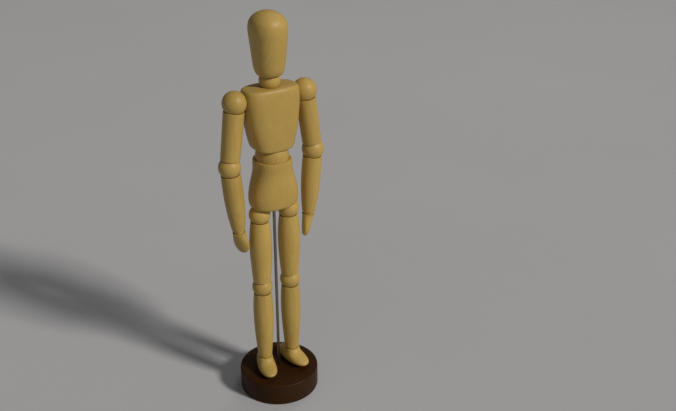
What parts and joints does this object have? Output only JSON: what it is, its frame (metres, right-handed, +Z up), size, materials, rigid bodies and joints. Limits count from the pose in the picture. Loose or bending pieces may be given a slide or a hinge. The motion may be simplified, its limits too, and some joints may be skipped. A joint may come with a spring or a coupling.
{
  "type": "artist mannequin",
  "caption": "Jointed wooden drawing figure with loose ball joints, held by a thin steel rod over a round dark wooden base.",
  "frame": {"origin": "middle of the base's flat underside", "axes": "+Z up, the figure faces -Y, its left arm is at +X"},
  "size_m": [0.0912, 0.067, 0.3312],
  "materials": {
    "figure_wood": "satin",
    "base_wood": "satin",
    "rod_steel": "satin",
    "spring_steel": "satin"
  },
  "bodies": {
    "stand": {"base": "base_wood", "rod": "rod_steel"},
    "hips": {"pelvis": "figure_wood", "hip_springs": "spring_steel"},
    "waist_piece": {"waist": "figure_wood", "waist_link": "spring_steel"},
    "torso": {"chest": "figure_wood", "waist_spring": "spring_steel", "shoulder_spring": "spring_steel"},
    "neck_piece": {"neck": "figure_wood", "neck_link": "spring_steel"},
    "skull": {"head": "figure_wood", "head_spring": "spring_steel"},
    "left_shoulder": {"left_shoulder_ball": "figure_wood", "left_shoulder_link": "spring_steel"},
    "left_arm": {"left_upper_arm": "figure_wood", "left_upper_arm_spring": "spring_steel"},
    "left_elbow": {"left_elbow_ball": "figure_wood", "left_elbow_link": "spring_steel"},
    "left_lower_arm": {"left_forearm": "figure_wood", "left_forearm_spring": "spring_steel"},
    "left_wrist": {"left_wrist_ball": "figure_wood", "left_wrist_link": "spring_steel"},
    "left_palm": {"left_hand": "figure_wood"},
    "left_hip": {"left_hip_ball": "figure_wood", "left_hip_link": "spring_steel"},
    "left_upper_leg": {"left_thigh": "figure_wood", "left_thigh_spring": "spring_steel"},
    "left_knee": {"left_knee_ball": "figure_wood", "left_knee_link": "spring_steel"},
    "left_lower_leg": {"left_shin": "figure_wood", "left_shin_spring": "spring_steel"},
    "left_ankle": {"left_ankle_ball": "figure_wood", "left_ankle_link": "spring_steel"},
    "left_sole": {"left_foot": "figure_wood"},
    "right_shoulder": {"right_shoulder_ball": "figure_wood", "right_shoulder_link": "spring_steel"},
    "right_arm": {"right_upper_arm": "figure_wood", "right_upper_arm_spring": "spring_steel"},
    "right_elbow": {"right_elbow_ball": "figure_wood", "right_elbow_link": "spring_steel"},
    "right_lower_arm": {"right_forearm": "figure_wood", "right_forearm_spring": "spring_steel"},
    "right_wrist": {"right_wrist_ball": "figure_wood", "right_wrist_link": "spring_steel"},
    "right_palm": {"right_hand": "figure_wood"},
    "right_hip": {"right_hip_ball": "figure_wood", "right_hip_link": "spring_steel"},
    "right_upper_leg": {"right_thigh": "figure_wood", "right_thigh_spring": "spring_steel"},
    "right_knee": {"right_knee_ball": "figure_wood", "right_knee_link": "spring_steel"},
    "right_lower_leg": {"right_shin": "figure_wood", "right_shin_spring": "spring_steel"},
    "right_ankle": {"right_ankle_ball": "figure_wood", "right_ankle_link": "spring_steel"},
    "right_sole": {"right_foot": "figure_wood"}
  },
  "joints": [
    {"name": "figure_turn", "type": "hinge", "parent": "stand", "child": "hips", "pos_m": [0, 0, 0.019], "axis": [0, 0, 1], "continuous": true},
    {"name": "waist_turn", "type": "hinge", "parent": "hips", "child": "waist_piece", "pos_m": [0, 0, 0.215], "axis": [0, 0, 1], "range_deg": [-40, 40]},
    {"name": "waist_bend", "type": "hinge", "parent": "waist_piece", "child": "torso", "pos_m": [0, 0, 0.2176], "axis": [1, 0, 0], "range_deg": [-14, 18]},
    {"name": "neck_turn", "type": "hinge", "parent": "torso", "child": "neck_piece", "pos_m": [0, 0, 0.278], "axis": [0, 0, 1], "range_deg": [-75, 75]},
    {"name": "head_nod", "type": "hinge", "parent": "neck_piece", "child": "skull", "pos_m": [0, 0, 0.278], "axis": [1, 0, 0], "range_deg": [-26, 26]},
    {"name": "left_shoulder_swing", "type": "hinge", "parent": "torso", "child": "left_shoulder", "pos_m": [0.03, 0, 0.265], "axis": [-1, 0, 0], "range_deg": [-60, 160]},
    {"name": "left_shoulder_lift", "type": "hinge", "parent": "left_shoulder", "child": "left_arm", "pos_m": [0.03, 0, 0.265], "axis": [0, -1, 0], "range_deg": [0, 75]},
    {"name": "left_elbow_twist", "type": "hinge", "parent": "left_arm", "child": "left_elbow", "pos_m": [0.03666, 0, 0.21444], "axis": [-0.1305, 0, 0.9914], "range_deg": [-80, 80]},
    {"name": "left_elbow_bend", "type": "hinge", "parent": "left_elbow", "child": "left_lower_arm", "pos_m": [0.03666, 0, 0.21444], "axis": [-0.9962, 0, 0.0872], "range_deg": [0, 74]},
    {"name": "left_wrist_twist", "type": "hinge", "parent": "left_lower_arm", "child": "left_wrist", "pos_m": [0.03178, 0, 0.15865], "axis": [0.0872, 0, 0.9962], "range_deg": [-80, 80]},
    {"name": "left_wrist_bend", "type": "hinge", "parent": "left_wrist", "child": "left_palm", "pos_m": [0.03178, 0, 0.15865], "axis": [-0.9848, 0, 0.1736], "range_deg": [-22, 22]},
    {"name": "left_hip_twist", "type": "hinge", "parent": "hips", "child": "left_hip", "pos_m": [0.013, 0, 0.168], "axis": [0, 0, 1], "range_deg": [-30, 45]},
    {"name": "left_hip_bend", "type": "hinge", "parent": "left_hip", "child": "left_upper_leg", "pos_m": [0.013, 0, 0.168], "axis": [-1, 0, 0], "range_deg": [-55, 60]},
    {"name": "left_knee_twist", "type": "hinge", "parent": "left_upper_leg", "child": "left_knee", "pos_m": [0.013, 0, 0.1015], "axis": [0, 0, 1], "range_deg": [-25, 30]},
    {"name": "left_knee_bend", "type": "hinge", "parent": "left_knee", "child": "left_lower_leg", "pos_m": [0.013, 0, 0.1015], "axis": [1, 0, 0], "range_deg": [0, 74]},
    {"name": "left_ankle_twist", "type": "hinge", "parent": "left_lower_leg", "child": "left_ankle", "pos_m": [0.013, 0, 0.033], "axis": [0, 0, 1], "range_deg": [-25, 40]},
    {"name": "left_ankle_bend", "type": "hinge", "parent": "left_ankle", "child": "left_sole", "pos_m": [0.013, 0, 0.033], "axis": [-0.9816, -0.1908, 0], "range_deg": [-5, 5]},
    {"name": "right_shoulder_swing", "type": "hinge", "parent": "torso", "child": "right_shoulder", "pos_m": [-0.03, 0, 0.265], "axis": [-1, 0, 0], "range_deg": [-60, 160]},
    {"name": "right_shoulder_lift", "type": "hinge", "parent": "right_shoulder", "child": "right_arm", "pos_m": [-0.03, 0, 0.265], "axis": [0, 1, 0], "range_deg": [0, 75]},
    {"name": "right_elbow_twist", "type": "hinge", "parent": "right_arm", "child": "right_elbow", "pos_m": [-0.03666, 0, 0.21444], "axis": [-0.1305, 0, -0.9914], "range_deg": [-80, 80]},
    {"name": "right_elbow_bend", "type": "hinge", "parent": "right_elbow", "child": "right_lower_arm", "pos_m": [-0.03666, 0, 0.21444], "axis": [-0.9962, 0, -0.0872], "range_deg": [0, 74]},
    {"name": "right_wrist_twist", "type": "hinge", "parent": "right_lower_arm", "child": "right_wrist", "pos_m": [-0.03178, 0, 0.15865], "axis": [0.0872, 0, -0.9962], "range_deg": [-80, 80]},
    {"name": "right_wrist_bend", "type": "hinge", "parent": "right_wrist", "child": "right_palm", "pos_m": [-0.03178, 0, 0.15865], "axis": [-0.9848, 0, -0.1736], "range_deg": [-22, 22]},
    {"name": "right_hip_twist", "type": "hinge", "parent": "hips", "child": "right_hip", "pos_m": [-0.013, 0, 0.168], "axis": [0, 0, -1], "range_deg": [-30, 45]},
    {"name": "right_hip_bend", "type": "hinge", "parent": "right_hip", "child": "right_upper_leg", "pos_m": [-0.013, 0, 0.168], "axis": [-1, 0, 0], "range_deg": [-55, 60]},
    {"name": "right_knee_twist", "type": "hinge", "parent": "right_upper_leg", "child": "right_knee", "pos_m": [-0.013, 0, 0.1015], "axis": [0, 0, -1], "range_deg": [-25, 30]},
    {"name": "right_knee_bend", "type": "hinge", "parent": "right_knee", "child": "right_lower_leg", "pos_m": [-0.013, 0, 0.1015], "axis": [1, 0, 0], "range_deg": [0, 74]},
    {"name": "right_ankle_twist", "type": "hinge", "parent": "right_lower_leg", "child": "right_ankle", "pos_m": [-0.013, 0, 0.033], "axis": [0, 0, -1], "range_deg": [-25, 40]},
    {"name": "right_ankle_bend", "type": "hinge", "parent": "right_ankle", "child": "right_sole", "pos_m": [-0.013, 0, 0.033], "axis": [-0.9816, 0.1908, 0], "range_deg": [-5, 5]}
  ]
}
